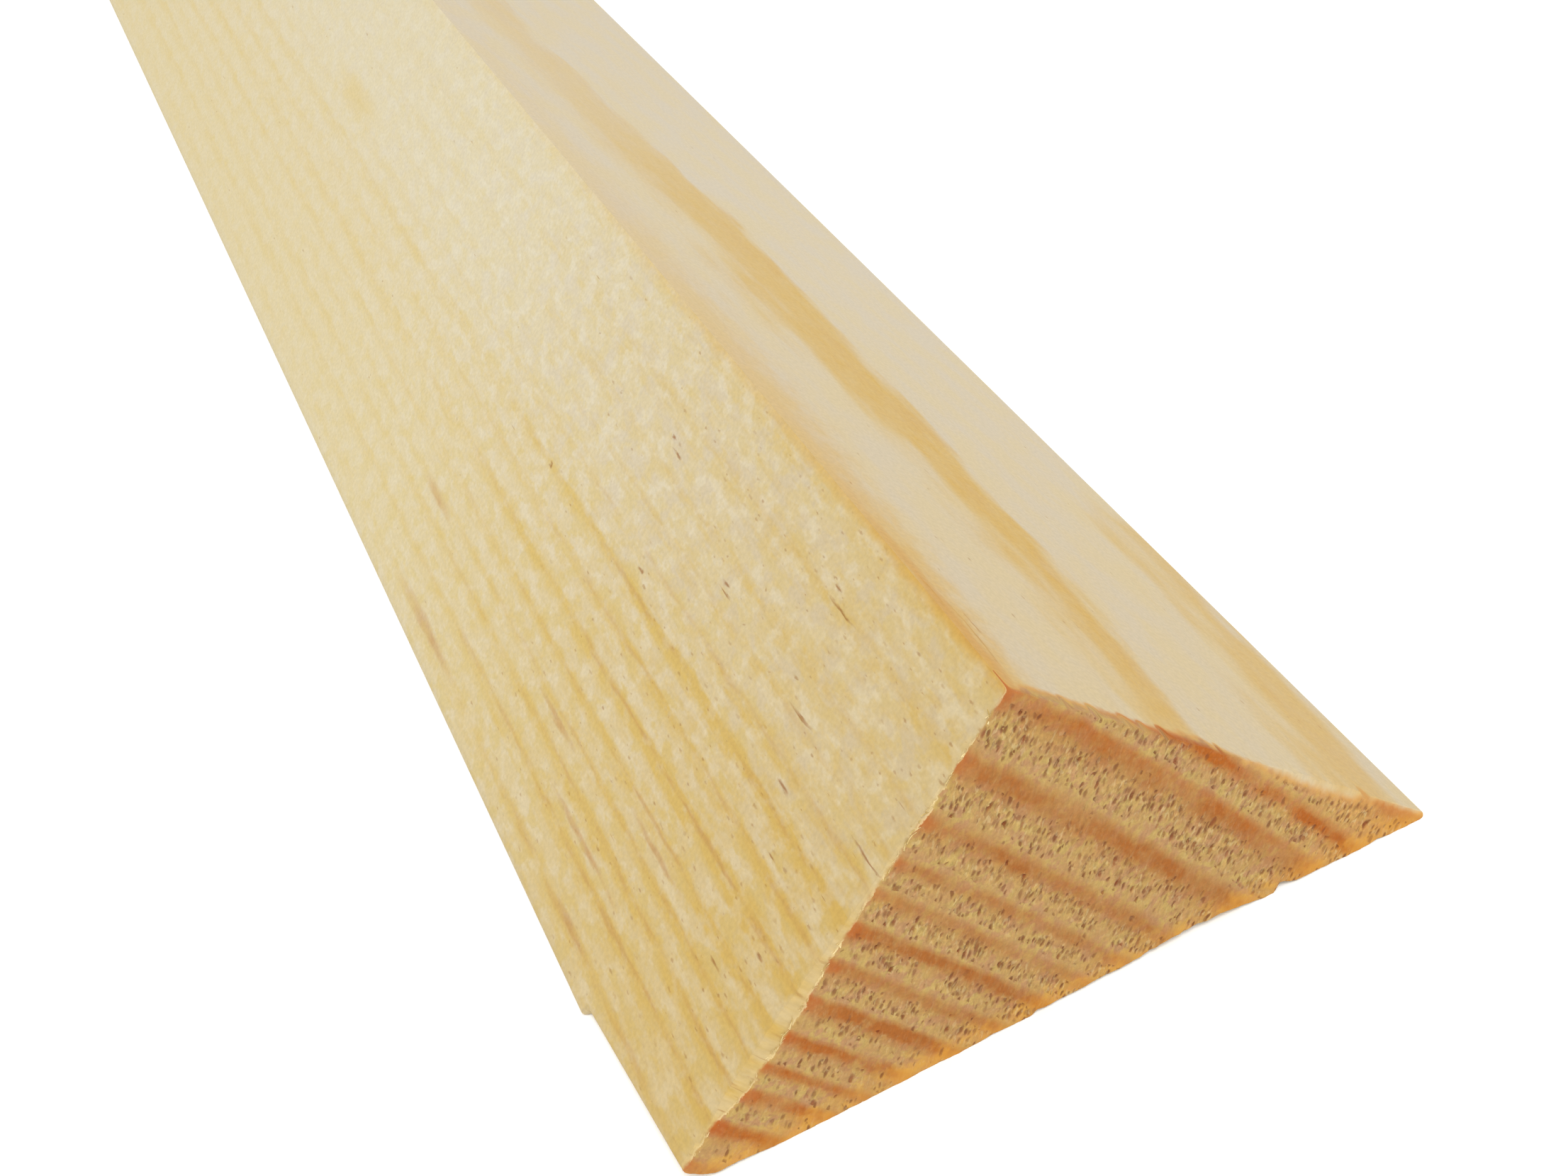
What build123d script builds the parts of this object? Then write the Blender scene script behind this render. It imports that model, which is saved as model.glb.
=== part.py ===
# Triangular softwood moulding: one length of planed pine, sawn square at both ends.
# Its section is a right-angled isosceles triangle. It lies on its widest face with the ridge up.
#
# The three long arrises are eased by different amounts, as planing and handling left them: one
# base arris is worn, and the ridge and the other base arris are nearly sharp. At one end a sliver
# has split off the worn base arris along the grain, square to the leg face, and left a small step.
#
# Frame: the origin is the middle of the base face, halfway along the stock and under the ridge.
# +X runs along the grain to the end with the broken arris, +Y across the base towards the sharp
# arris, and +Z up to the ridge. All sizes are in millimetres and degrees.

import os
from math import cos, radians, sin, tan

from build123d import *

# Stock
leg_width = 20.0  # each planed face that meets at the ridge, measured to the sharp corners
base_angle = 45.0  # between the base and each leg face
stock_length = 1000.0

# Eased arrises
ridge_radius = 0.15
sharp_arris_radius = 0.15
worn_arris_radius = 0.3

# Sliver lost from the worn arris, with its widths measured up the leg face from the sharp corner
sliver_length = 7.7
sliver_root_width = 0.8
sliver_end_width = 1.45
sliver_leg_edge_radius = 0.3
sliver_base_edge_radius = 0.5

# Worked out from the sizes above
half_base = leg_width * cos(radians(base_angle))
ridge_height = leg_width * sin(radians(base_angle))
end_x = stock_length / 2
worn_corner = (-half_base, 0)
sharp_corner = (half_base, 0)
ridge_corner = (0, ridge_height)
sliver_clear = sliver_length + sliver_end_width  # how far the cut runs past the wood
sliver_end_slope = (sliver_end_width - sliver_root_width) / sliver_length

# Lies on the worn side's leg face: x runs in from the sawn end, y up the leg, z into the wood
leg_plane = Plane(
    origin=(end_x, -half_base, 0),
    x_dir=(-1, 0, 0),
    z_dir=(0, sin(radians(base_angle)), -cos(radians(base_angle))),
)

# Middles of the two long edges of the split face, on the leg face and on the base
split_middle_width = (sliver_root_width + sliver_end_width) / 2
split_middle_depth = split_middle_width * tan(radians(base_angle))
split_leg_middle = leg_plane.from_local_coords((sliver_length / 2, split_middle_width, 0))
split_base_middle = leg_plane.from_local_coords(
    (sliver_length / 2, split_middle_width, split_middle_depth)
)

with BuildPart() as triangular_moulding:
    # Planed section, drawn at the plain end and run along the grain
    with BuildSketch(Plane.YZ.offset(-end_x)) as section:
        with BuildLine():
            Polyline(worn_corner, sharp_corner, ridge_corner, close=True)
        make_face()
        fillet(section.vertices().sort_by(Axis.Y)[-1], ridge_radius)
        fillet(section.vertices().sort_by(Axis.X)[-1], sharp_arris_radius)
        fillet(section.vertices().sort_by(Axis.X)[0], worn_arris_radius)
    extrude(amount=stock_length)

    # Split sliver: a wedge of the worn arris, widest at the sawn end
    with BuildSketch(leg_plane):
        with BuildLine():
            Polyline(
                (sliver_length, -sliver_clear),
                (sliver_length, sliver_root_width),
                (-sliver_clear, sliver_end_width + sliver_end_slope * sliver_clear),
                (-sliver_clear, -sliver_clear),
                close=True,
            )
        make_face()
    extrude(amount=sliver_clear, both=True, mode=Mode.SUBTRACT)
    leg_edge = triangular_moulding.edges().sort_by_distance(split_leg_middle)[0]
    fillet(leg_edge, sliver_leg_edge_radius)
    base_edge = triangular_moulding.edges().sort_by_distance(split_base_middle)[0]
    fillet(base_edge, sliver_base_edge_radius)

triangular_moulding.part.label = "triangular_moulding"

os.makedirs("parts", exist_ok=True)
export_step(triangular_moulding.part, "parts/triangular_moulding.step")

print(f"section {2 * half_base:.2f} x {ridge_height:.2f} mm, length {stock_length:.0f} mm")
print(f"volume {triangular_moulding.part.volume:.0f} mm3")
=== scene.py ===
# %% [markdown]
# # A triangular pine moulding, seen close up at its sawn end
#
# The real object is one stick of planed pine with a right-angled triangular section. Nearly all
# of its looks come from one thing: the growth rings of the tree. They show as curved bands on
# the sawn end, as fine streaks on the long face that cuts straight across them, and as broad
# soft flames on the long face that nearly follows them. So the rings are described once, as a
# solid pattern in space, and every face only cuts through it.
#
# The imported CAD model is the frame. It is in metres, with X along the grain, the photographed
# end at high X, the base on Z = 0 and the ridge above Y = 0.

import math
from types import SimpleNamespace

import bmesh
import bpy
import numpy as np
from mathutils import Matrix, Quaternion, Vector, noise


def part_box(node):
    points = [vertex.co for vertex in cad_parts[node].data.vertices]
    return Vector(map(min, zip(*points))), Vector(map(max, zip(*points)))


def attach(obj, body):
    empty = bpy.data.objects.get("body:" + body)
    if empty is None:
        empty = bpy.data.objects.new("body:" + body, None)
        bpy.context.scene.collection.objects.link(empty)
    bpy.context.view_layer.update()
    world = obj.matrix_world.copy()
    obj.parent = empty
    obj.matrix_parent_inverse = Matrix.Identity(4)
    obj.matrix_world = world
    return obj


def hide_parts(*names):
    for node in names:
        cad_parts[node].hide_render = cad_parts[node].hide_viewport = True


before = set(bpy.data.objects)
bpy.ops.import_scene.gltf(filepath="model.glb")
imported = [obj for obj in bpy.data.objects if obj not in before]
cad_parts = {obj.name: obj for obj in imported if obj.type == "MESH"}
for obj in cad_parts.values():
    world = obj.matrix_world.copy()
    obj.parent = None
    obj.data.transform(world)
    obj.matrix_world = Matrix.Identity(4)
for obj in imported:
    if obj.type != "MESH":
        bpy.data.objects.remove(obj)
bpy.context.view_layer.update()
low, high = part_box("triangular_moulding")
MM = 0.001
END_X = high.x
print("stock length", round(high.x - low.x, 4), "m, ridge at", round(high.z, 5), "m")

# %% [markdown]
# The camera comes first, because it decides how fine the work has to be. The picture was taken
# about 7 cm from the end, looking down over the worn arris. A camera is placed by a point, a
# point it looks at, a roll about its own axis and a lens, all found by fitting the stick's
# straight edges to the picture.

# %% Camera
CAMERA_PLACE = Vector((END_X + 35.26 * MM, -14.87 * MM, 52.07 * MM))
CAMERA_AIM = Vector((END_X - 10.583 * MM, -2.646 * MM, 11.496 * MM))
CAMERA_ROLL = math.radians(-14.2)

camera = bpy.data.objects.new("camera", bpy.data.cameras.new("camera"))
bpy.context.scene.collection.objects.link(camera)
camera.data.lens = 45.19
camera.data.sensor_width = 36.0
camera.data.clip_start = 1 * MM
camera.location = CAMERA_PLACE
look = (CAMERA_AIM - CAMERA_PLACE).to_track_quat("-Z", "Y")
camera.rotation_mode = "QUATERNION"
camera.rotation_quaternion = look @ Quaternion((0, 0, 1), CAMERA_ROLL)
bpy.context.scene.camera = camera
aim_distance = (CAMERA_AIM - CAMERA_PLACE).length / MM
print("camera stands", round(aim_distance, 1), "mm from what it looks at")

# %% [markdown]
# The stick starts as a cylinder with three sides. Stretched across its base by the square root
# of three, its equilateral section becomes the right-angled one. A cube with two corners sawn
# off would do as well, but this way the ends are single triangles, and a triangle subdivides
# into an even grid, which the torn end grain needs.

# %% Start from a three-sided cylinder
LEG = 20.0 * MM
HALF_BASE = LEG / math.sqrt(2)
RIDGE = LEG / math.sqrt(2)
COS_45 = math.sqrt(0.5)  # both legs slope at 45 degrees
around = RIDGE / 1.5  # from the middle of an equilateral triangle of that height to its corner

bpy.ops.object.select_all(action="DESELECT")
bpy.ops.mesh.primitive_cylinder_add(
    vertices=3,
    radius=around,
    depth=high.x - low.x,
    end_fill_type="NGON",
    location=((high.x + low.x) / 2, 0, RIDGE / 3),
    rotation=(math.pi / 2, 0, math.pi / 2),
    scale=(math.sqrt(3), 1, 1),
)
moulding = bpy.context.object
moulding.name = "moulding"
bpy.ops.object.transform_apply(location=True, rotation=True, scale=True)
for corner in moulding.data.vertices:
    if corner.co.x > 0:
        print("section corner at", [round(part / MM, 3) for part in corner.co.yz], "mm in Y, Z")

# %% [markdown]
# The stick is cut into slabs across the grain, thin ones near the photographed end and long ones
# further off. Then every edge that lies across the grain is split into the same number of
# pieces. The slabs near the end are split once more, so the fine mesh is where it is seen.

# %% Select by place, and cut the slabs
def choose(kind, test):
    """In edit mode, selects the faces or edges whose middle and direction pass the test."""
    bpy.ops.mesh.select_mode(type=kind)
    bpy.ops.mesh.select_all(action="DESELECT")
    shape = bmesh.from_edit_mesh(bpy.context.object.data)
    for part in shape.faces if kind == "FACE" else shape.edges:
        if kind == "FACE":
            middle, way = part.calc_center_median(), part.normal
        else:
            a, b = (v.co for v in part.verts)
            middle, way = (a + b) / 2, (b - a).normalized()
        if test(middle, way):
            part.select_set(True)
    shape.select_flush_mode()
    bmesh.update_edit_mesh(bpy.context.object.data)


STEP_BACK = 7.7 * MM  # where the broken arris starts, measured from the sawn end
NEAR_CUTS = [  # mm from the end
    0.5, 1.0, 1.7, 2.6, 3.6, 4.8, 6.2, 7.65, 7.7, 9, 11, 13.5, 16.5, 20, 25, 31, 38, 46, 56, 67, 80,
]
FAR_CUTS = [0.7, 2.0, 5.0]
LONG_STEP = 12.5 * MM

cuts = [END_X - back * MM for back in NEAR_CUTS]
x = cuts[-1] - LONG_STEP
while x > low.x + FAR_CUTS[-1] * MM + LONG_STEP / 2:
    cuts.append(x)
    x -= LONG_STEP
cuts += [low.x + back * MM for back in FAR_CUTS]

bpy.ops.object.mode_set(mode="EDIT")
for x in cuts:
    bpy.ops.mesh.select_all(action="SELECT")
    bpy.ops.mesh.bisect(plane_co=(x, 0, 0), plane_no=(1, 0, 0))
print(len(cuts) + 1, "slabs")

# %% Split the section, then the parts that are seen closest
SECTION_PARTS = 64
FINE_PARTS = 5
FINE_BACK = 1.0 * MM
SLIVER_ZONE_BACK, SLIVER_ZONE_WIDE = 9 * MM, 2.4 * MM
WORN_CORNER = Vector((END_X, -HALF_BASE, 0))


def by_sliver(middle, way):
    """Whether a face lies round the sliver that will split off the worn arris."""
    if not END_X - SLIVER_ZONE_BACK < middle.x < END_X - FINE_BACK:
        return False
    return (middle - WORN_CORNER).yz.length < SLIVER_ZONE_WIDE


choose("EDGE", lambda middle, way: abs(way.x) < 1e-3)
bpy.ops.mesh.subdivide(number_cuts=SECTION_PARTS - 1)
choose("FACE", lambda middle, way: middle.x > END_X - FINE_BACK)
bpy.ops.mesh.subdivide(number_cuts=FINE_PARTS - 1)
choose("FACE", by_sliver)
bpy.ops.mesh.subdivide(number_cuts=FINE_PARTS - 1)
choose("FACE", lambda middle, way: middle.x < low.x + 1e-6)
bpy.ops.mesh.subdivide(number_cuts=1)
bpy.ops.mesh.select_all(action="SELECT")
bpy.ops.mesh.normals_make_consistent(inside=False)
bpy.ops.object.mode_set(mode="OBJECT")
mesh = moulding.data
print(len(mesh.vertices), "points,", sum(len(p.vertices) - 2 for p in mesh.polygons), "triangles")

# %% [markdown]
# While the faces are still flat they are easy to tell apart and to unroll. The end grain gets
# its own material slot. The UV map is laid out so that the photographed end gets the most of a
# baked picture: it lies alone above the long faces, which are unrolled side by side and
# stretched lengthwise near that end.

# %% Mark the ends and unroll the faces
def read(items, name, width=1, kind=float):
    """A number, or a row of them, for each point, corner or face of a mesh."""
    numbers = np.empty(len(items) * width, kind)
    items.foreach_get(name, numbers)
    return numbers.reshape(-1, width) if width > 1 else numbers


sharp = read(mesh.vertices, "co", 3)
loop_point = read(mesh.loops, "vertex_index", kind=int)
loop_start = read(mesh.polygons, "loop_start", kind=int)
loop_total = read(mesh.polygons, "loop_total", kind=int)
normals = read(mesh.polygons, "normal", 3)
NEAR, FAR, RIGHT, LEFT, BASE = range(5)
face_side = np.select(
    [normals[:, 0] > 0.5, normals[:, 0] < -0.5, normals[:, 2] < -0.5, normals[:, 1] > 0],
    [NEAR, FAR, BASE, RIGHT],
    LEFT,
)
face_start = sharp[loop_point[loop_start], 0]
beyond = np.abs(face_start) < END_X - FINE_BACK - 1e-6
mesh.polygons.foreach_set("material_index", (beyond | (face_side == BASE)).astype(int))

side = np.repeat(face_side, loop_total)
place = sharp[loop_point]
UV_SIZE = 1024.0  # parts to the side of the baked picture
NEAR_SCALE, NEAR_U, NEAR_V = 27.0, 12, 560  # parts to a millimetre, and where the near end lies
FAR_SCALE, FAR_U, FAR_V = 9.0, 990, 985
ROUND_SCALE, ROUND_U, ROUND_V = 7.4, 8, 12
BEND_BACK = 60.0  # mm
NEAR_BEND, FAR_BEND = 5.0, 0.73  # parts to a millimetre, before the bend and beyond
across = place[:, 1] / MM
up = place[:, 2] / MM
back = (END_X - place[:, 0]) / MM
run = np.minimum(back, BEND_BACK) * NEAR_BEND + np.maximum(back - BEND_BACK, 0) * FAR_BEND
half = HALF_BASE / MM
two_legs = 2 * LEG / MM
rolled = np.select(
    [side == RIGHT, side == LEFT, side == BASE],
    [
        (half - across) * math.sqrt(2),
        two_legs - (half + across) * math.sqrt(2),
        two_legs + half + across,
    ],
    0,
)
ends = [side == NEAR, side == FAR]
ends_u = [NEAR_U + (half + across) * NEAR_SCALE, FAR_U - (half + across) * FAR_SCALE]
ends_v = [NEAR_V + up * NEAR_SCALE, FAR_V - up * FAR_SCALE]
u = np.select(ends, ends_u, ROUND_U + run)
v = np.select(ends, ends_v, ROUND_V + rolled * ROUND_SCALE)
layer = mesh.uv_layers.new(name="OFBake")
layer.data.foreach_set("uv", np.stack([u, v], -1).ravel() / UV_SIZE)
print("UV from", u.min().round(), v.min().round(), "to", u.max().round(), v.max().round())

# %% [markdown]
# Planing leaves the long arrises eased, each by its own amount. Here the points near a corner
# are drawn in towards the middle of a circle that touches both faces, which turns a sharp
# corner into an arc and carries the points inside along. A bevel would do on a plain stick, but
# it would break the even grid on the end.

# %% Ease the arrises
# The ways across the section, in Y and Z
UP_LEFT = np.array([COS_45, COS_45])  # from the worn corner up to the ridge
DOWN_RIGHT = np.array([COS_45, -COS_45])
ACROSS = np.array([1.0, 0.0])
RIDGE_RADIUS = 0.15 * MM
SHARP_RADIUS = 0.15 * MM
WORN_RADIUS = 0.3 * MM


def ease(flat, corner, way_a, way_b, radius):
    """Rounds the corner between two straight edges that leave it along way_a and way_b."""
    half_angle = math.acos(float(way_a @ way_b)) / 2
    middle_way = (way_a + way_b) / np.linalg.norm(way_a + way_b)
    centre = corner + middle_way * radius / math.sin(half_angle)
    touch = radius / math.tan(half_angle)
    off = flat - corner
    near = (off @ way_a < touch) & (off @ way_b < touch)
    out = flat - centre
    size = np.maximum(np.linalg.norm(out, axis=-1), 1e-12)
    outward_a = way_a * math.cos(half_angle * 2) - way_b
    outward_a = outward_a / np.linalg.norm(outward_a)
    outward_b = way_b * math.cos(half_angle * 2) - way_a
    outward_b = outward_b / np.linalg.norm(outward_b)
    draw = np.maximum(out @ outward_a, out @ outward_b) / size
    return np.where(near[:, None], centre + out * draw[:, None], flat)


worked = sharp.copy()
flat = worked[:, 1:]
back = END_X - worked[:, 0]
flat = ease(flat, np.array([0, RIDGE]), -UP_LEFT, DOWN_RIGHT, RIDGE_RADIUS)
flat = ease(flat, np.array([HALF_BASE, 0]), -ACROSS, -DOWN_RIGHT, SHARP_RADIUS)
sound = back > STEP_BACK - 0.01 * MM
eased = ease(flat, np.array([-HALF_BASE, 0]), ACROSS, UP_LEFT, WORN_RADIUS)
flat = np.where(sound[:, None], eased, flat)
print("eased box", (flat.min(0) / MM).round(3), (flat.max(0) / MM).round(3), "mm")

# %% [markdown]
# At the photographed end a sliver has split off the worn arris, square to the leg face. The
# points are moved up the leg to the split, evenly, so that no face is squashed flat, and the two
# edges of the split are eased like the arrises.

# %% Split the sliver off
SPLIT_ROOT = 0.8 * MM
SPLIT_END = 1.45 * MM
SPLIT_SPREAD = 1.5 * MM  # how much of the leg face is moved up to make room
SPLIT_TOP_RADIUS, SPLIT_BASE_RADIUS = 0.3 * MM, 0.5 * MM
INWARD = np.array([COS_45, -COS_45])  # from the left leg face into the wood

worn = np.array([-HALF_BASE, 0])
up_leg = (flat - worn) @ UP_LEFT
into = (flat - worn) @ INWARD
width = SPLIT_ROOT + (SPLIT_END - SPLIT_ROOT) * (1 - back / STEP_BACK)
reach = width + SPLIT_SPREAD
torn = ~sound & (into < width) & (up_leg < reach)
moved = width + (up_leg - into) * SPLIT_SPREAD / np.maximum(reach - into, 1e-9)
up_leg = np.where(torn, moved, up_leg)
shifted = up_leg - width  # measured from the split, where the eased corners stay put
leg_frame = np.stack([shifted, into], -1)
along_leg, into_wood = np.array([1.0, 0.0]), np.array([0.0, 1.0])
eased = ease(leg_frame, np.zeros(2), along_leg, into_wood, SPLIT_TOP_RADIUS)
leg_frame = np.where(~sound[:, None] & (into < 2 * width)[:, None], eased, leg_frame)
base_corner = np.stack([np.zeros(len(width)), width], -1)
eased = ease(leg_frame, base_corner, UP_LEFT, -into_wood, SPLIT_BASE_RADIUS)
leg_frame = np.where(~sound[:, None], eased, leg_frame)
up_leg = leg_frame[:, 0] + width
into = leg_frame[:, 1]
flat = np.where(sound[:, None], flat, worn + up_leg[:, None] * UP_LEFT + into[:, None] * INWARD)
worked[:, 1:] = flat
mesh.vertices.foreach_set("co", worked.ravel())
mesh.update()
print("the split starts", STEP_BACK / MM, "mm back and is", SPLIT_END / MM, "mm wide at the end")

# %% [markdown]
# The saw came out through the base, so bits of that edge broke away: a row of shallow chips with
# one long tooth left standing. The upper edges are only nibbled. All of it fades out within a
# millimetre or two of the end, and nothing grows past the planed faces.

# %% Chip the edges of the sawn end
CHIPS = [  # across the base in mm, then how much is missing
    (-12.6, 0.0), (-12.2, 0.12), (-11.8, 0.16), (-11.4, 0.16), (-11.0, 0.12), (-10.4, 0.05),
    (-9.6, 0.0), (-2.9, 0.0), (-2.4, 0.08), (-1.8, 0.02), (-1.0, 0.02), (-0.82, 0.2), (-0.5, 0.12),
    (0.6, 0.12), (1.4, 0.18), (2.2, 0.15), (3.0, 0.19), (3.4, 0.29), (3.6, 0.25), (4.1, 0.37),
    (4.4, 0.34), (5.2, 0.39), (5.5, 0.29), (6.0, 0.36), (6.6, 0.24), (7.2, 0.13), (7.7, 0.0),
    (8.05, 0.0), (8.35, 0.38), (8.65, 0.2), (8.9, 0.1), (10.4, 0.03), (11.8, 0.02), (12.1, 0.08),
    (12.5, 0.0),
]
CHIP_BACK = 1.6 * MM
CHIP_UP = 1.2 * MM
NIBBLE_DEPTH = 0.2 * MM
NIBBLE_BACK, NIBBLE_WIDE = 0.8 * MM, 0.9 * MM
NIBBLE_SPAN = 9.0  # mm along the sharp side's leg, either way from its middle
NIBBLE_BITES = 1.9  # noise to a millimetre


def faded(distance, reach):
    return np.clip(1 - distance / reach, 0, 1)


back = END_X - worked[:, 0]
near = np.where(back < CHIP_BACK)[0]
y, z = worked[near, 1], worked[near, 2]
chip_y, chip_z = np.array(CHIPS).T * MM
lift = np.interp(y, chip_y, chip_z) * faded(back[near], CHIP_BACK) ** 1.5 * faded(z, CHIP_UP)
worked[near, 2] += lift

off_right = (HALF_BASE - worked[near, 1] - worked[near, 2]) / math.sqrt(2)
along = (worked[near, 2] - worked[near, 1]) / math.sqrt(2)
bites = [noise.noise(Vector((a / MM * NIBBLE_BITES, 0.0, 3.7))) for a in along]
nibble = np.array(bites).clip(0, 1) * NIBBLE_DEPTH * np.clip(NIBBLE_SPAN - abs(along) / MM, 0, 1)
nibble *= faded(back[near], NIBBLE_BACK) * faded(off_right, NIBBLE_WIDE) * (off_right > -1e-6)
worked[near, 1] -= nibble * COS_45
worked[near, 2] -= nibble * COS_45
mesh.vertices.foreach_set("co", worked.ravel())
mesh.update()
deepest = [round(cut.max() / MM, 2) for cut in (lift, nibble)]
print("deepest chip and deepest nibble", deepest, "mm")

# %% [markdown]
# The same pattern has to serve a shader and a geometry node tree, so it is written as a recipe
# that adds nodes to either. What a node gives is a value, and a sum with a value adds the node
# that works it out, so formulas look as they would on paper. Their distances are in mm.

# %% A recipe adds nodes
STUDIO_LIGHT = 1.15  # how much brighter than its own colour the studio light shows a surface


def tone(red, green, blue):
    """A colour as seen on paper, 0 to 255, turned into the linear numbers that a shader mixes."""
    parts = [part / 255 for part in (red, green, blue)]
    linear = [c / 12.92 if c <= 0.04045 else ((c + 0.055) / 1.055) ** 2.4 for c in parts]
    return (*(c / STUDIO_LIGHT for c in linear), 1.0)


class Value:
    """A number, vector or colour that a node gives. A sum with it adds a node."""

    def __init__(self, tree, socket):
        self.tree, self.socket = tree, socket

    def __rsub__(self, other):
        return calc("SUBTRACT", other, self)


SIGNS = {  # the other signs, by the names that Python has for them
    "__add__": "ADD", "__sub__": "SUBTRACT", "__mul__": "MULTIPLY", "__truediv__": "DIVIDE",
    "__pow__": "POWER", "__abs__": "ABSOLUTE", "__lt__": "LESS_THAN", "__gt__": "GREATER_THAN",
}
for sign, operation in SIGNS.items():
    setattr(Value, sign, lambda *terms, operation=operation: calc(operation, *terms))


def feed(value, socket):
    """Gives a socket its value, by a link or as a plain number or colour."""
    if isinstance(value, Value):
        value.tree.links.new(value.socket, socket)
    else:
        socket.default_value = value


def add(kind, inputs, output=0, tree=None, **settings):
    """Adds a node where its inputs come from, or to the tree that is given."""
    if tree is None:
        tree = next(value.tree for value in inputs.values() if isinstance(value, Value))
    node = tree.nodes.new(kind)
    for name, value in settings.items():
        setattr(node, name, value)
    for name, value in inputs.items():
        feed(value, node.inputs[name])
    return Value(tree, node.outputs[output])


def calc(operation, *terms, clamp=False):
    """One step of arithmetic. With clamp, the result stays between 0 and 1."""
    return add("ShaderNodeMath", dict(enumerate(terms)), operation=operation, use_clamp=clamp)


def least(a, b):
    return calc("MINIMUM", a, b)


def most(a, b):
    return calc("MAXIMUM", a, b)


def vector(x, y, z=0.0):
    return add("ShaderNodeCombineXYZ", {0: x, 1: y, 2: z})


def split(vector):
    """The three parts of a vector or colour."""
    node = vector.tree.nodes.new("ShaderNodeSeparateXYZ")
    feed(vector, node.inputs[0])
    return [Value(vector.tree, part) for part in node.outputs]


def stretch(vector, scales):
    return add("ShaderNodeVectorMath", {0: vector, 1: scales}, operation="MULTIPLY")


def moved(vector, scales, shift):
    """A vector times scales, plus shift."""
    inputs = {0: vector, 1: scales, 2: shift}
    return add("ShaderNodeVectorMath", inputs, operation="MULTIPLY_ADD")


def fade(value, start, stop, low=0.0, high=1.0):
    """Goes smoothly from low at start to high at stop, and stays there on either side."""
    inputs = {"Value": value, "From Min": start, "From Max": stop, "To Min": low, "To Max": high}
    return add("ShaderNodeMapRange", inputs, interpolation_type="SMOOTHSTEP")


def curve(value, points, kind="AUTO_CLAMPED"):
    """A curve drawn through the points, as on graph paper."""
    xs, ys = [x for x, _ in points], [y for _, y in points]
    x_low, x_span = xs[0], xs[-1] - xs[0]
    y_low, y_span = min(ys), max(ys) - min(ys)
    node = value.tree.nodes.new("ShaderNodeFloatCurve")
    marks = node.mapping.curves[0].points
    for i, (x, y) in enumerate(points):
        place = ((x - x_low) / x_span, (y - y_low) / y_span)
        mark = marks[0] if i == 0 else marks[-1] if i == len(points) - 1 else marks.new(*place)
        mark.location = place
    for mark in marks:
        mark.handle_type = kind
    node.mapping.update()
    feed(calc("DIVIDE", value - x_low, x_span, clamp=True), node.inputs["Value"])
    return Value(value.tree, node.outputs[0]) * y_span + y_low


def noise_of(vector, scale, detail=2.0, rough=0.5, flat=True):
    """Noise about 0.5. Its scale is a number, or one number for each direction."""
    if isinstance(scale, tuple):
        vector, scale = stretch(vector, scale), 1.0
    inputs = {"Vector": vector, "Scale": scale, "Detail": detail, "Roughness": rough}
    return add("ShaderNodeTexNoise", inputs, noise_dimensions="2D" if flat else "3D")


def bump_of(noise, size):
    """The same noise made about 0, of a given size."""
    return noise * (2 * size) - size


def cells(vector, scale):
    """Scattered points: the distance to the nearest, and three random numbers of its own."""
    inputs = {"Vector": vector, "Scale": scale}
    distance = add("ShaderNodeTexVoronoi", inputs, output="Distance", voronoi_dimensions="2D")
    return distance, split(Value(distance.tree, distance.socket.node.outputs["Color"]))


def blend(factor, a, b):
    """A number between a and b."""
    return add("ShaderNodeMix", {0: factor, 2: a, 3: b}, data_type="FLOAT")


def mix(factor, a, b, kind="MIX"):
    """A colour between a and b."""
    inputs = {0: factor, 6: a, 7: b}
    return add("ShaderNodeMix", inputs, output=2, data_type="RGBA", blend_type=kind)


def tint(colour, shade):
    """A colour multiplied by a number or by another colour."""
    return mix(1.0, colour, shade, "MULTIPLY")


print("white on paper is mixed as", round(tone(255, 255, 255)[0], 3))

# %% [markdown]
# Growth rings are circles round the tree's pith. Here the pith is far outside the stick, down
# and to the worn side, so the rings cross the section as nearly straight bands. Each ring grows
# pale in spring and slowly darker to a hard brown line in autumn, and then stops at once. A list
# of the radii where rings end gives their uneven widths. Along the stick the rings wander a
# little, which hardly shows on the leg that cuts straight across them, but shifts the flames on
# the other leg by five times as much.

# %% Growth rings, as a solid pattern
PITH_Y, PITH_Z = -186.3, -125.1
RING_ENDS = [
    204.2, 206.0, 207.6, 209.3, 211.0, 213.0, 214.8, 216.4, 217.8, 218.85, 220.05, 221.5,
    222.85, 224.25, 225.5, 226.7, 228.2, 230.35, 232.75, 234.0, 236.05, 237.6, 239.0, 240.5,
]
RING_STRENGTHS = [
    0.6, 0.7, 0.6, 0.8, 0.6, 0.55, 0.9, 0.75, 0.6, 0.9, 1.0, 0.65, 0.9,
    0.5, 0.6, 0.7, 0.75, 0.7, 0.88, 0.68, 0.65, 0.6, 0.7,
]
LATE_PLACE = 0.9  # where in its ring a brown line is strongest
WANDER = [  # mm back from the end, then how far the flames' rings have moved, in mm
    (0, 0), (6, -0.2), (14, -0.33), (22, -0.3), (33, -0.25), (42, -0.2), (60, 0.0), (80, 0.1),
    (120, 0),
]
FLAME_RADIUS = 233.0  # only rings beyond this follow WANDER


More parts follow.
